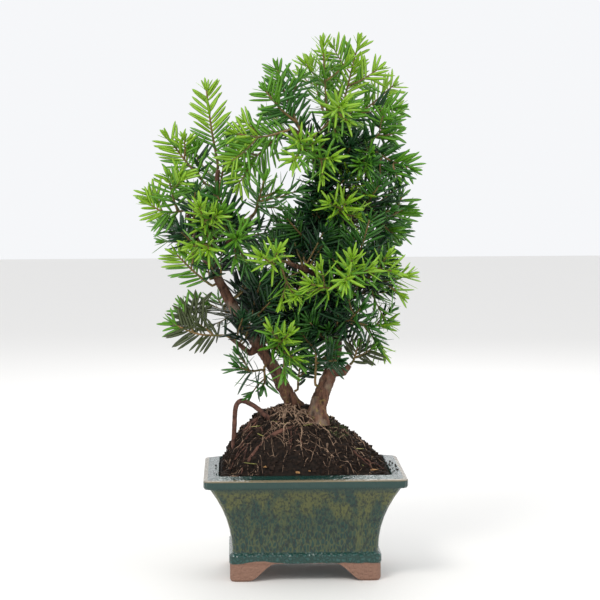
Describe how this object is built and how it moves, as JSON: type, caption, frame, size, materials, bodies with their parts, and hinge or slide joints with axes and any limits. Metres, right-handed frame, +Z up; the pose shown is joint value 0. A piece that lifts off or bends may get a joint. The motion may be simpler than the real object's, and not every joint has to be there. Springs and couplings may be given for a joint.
{
  "type": "bonsai tree in a pot",
  "caption": "Hybrid yew bonsai with forked stems and open sprays of flat needles, rooted in mounded soil in a flared rectangular glazed pot on corner feet.",
  "frame": {"origin": "centre of the whole plant's bounding box in plan, at the underside of the pot's feet", "axes": "+Z up, +X along the pot's long side to the right as seen from the front, -Y towards the front"},
  "size_m": [0.22, 0.1604, 0.4091],
  "materials": {
    "glaze": "glossy streaked glaze, bare clay on the feet",
    "soil": "crumbly dark potting soil",
    "bark": "rough flaking bark",
    "root": "smooth bare root",
    "bright": "lime green needles",
    "mid": "green needles",
    "dark": "dark green needles",
    "olive": "olive green needles"
  },
  "bodies": {
    "root": {"bough_back_high": "bark", "bough_back_left": "bark", "bough_back_low": "bark", "bough_back_mid": "bark", "bough_fork": "bark", "bough_front": "bark", "bough_left_inner": "bark", "bough_left_outer": "bark", "bough_low_left": "bark", "bough_right_high": "bark", "bough_right_mid": "bark", "bough_top_left": "bark", "bough_top_right": "bark", "mass_back": "bright", "mass_back_centre": "dark", "mass_back_leader": "mid", "mass_back_left": "bright", "mass_back_left_low": "olive", "mass_back_left_out": "mid", "mass_back_low": "mid", "mass_back_low_left": "dark", "mass_back_right": "mid", "mass_back_top": "bright", "mass_back_top_left": "mid", "mass_back_upper": "mid", "mass_between": "dark", "mass_centre": "dark", "mass_fork": "olive", "mass_front": "bright", "mass_front_high": "bright", "mass_front_low": "bright", "mass_front_right": "bright", "mass_front_upright": "bright", "mass_hanging": "dark", "mass_inner_front": "mid", "mass_inner_left": "mid", "mass_inner_low": "dark", "mass_inner_mid": "dark", "mass_left_front": "bright", "mass_left_leader": "bright", "mass_left_reach": "bright", "mass_left_reach_low": "bright", "mass_left_shoot": "bright", "mass_left_small": "bright", "mass_low_left": "olive", "mass_right_high": "mid", "mass_right_low": "dark", "mass_right_reach": "bright", "mass_right_up": "mid", "mass_top_centre": "bright", "mass_top_left": "dark", "mass_top_right": "bright", "pot": "glaze", "root_arch": "root", "root_front": "root", "root_side": "root", "soil": "soil", "stem_left": "bark", "stem_right": "bark"}
  },
  "joints": []
}
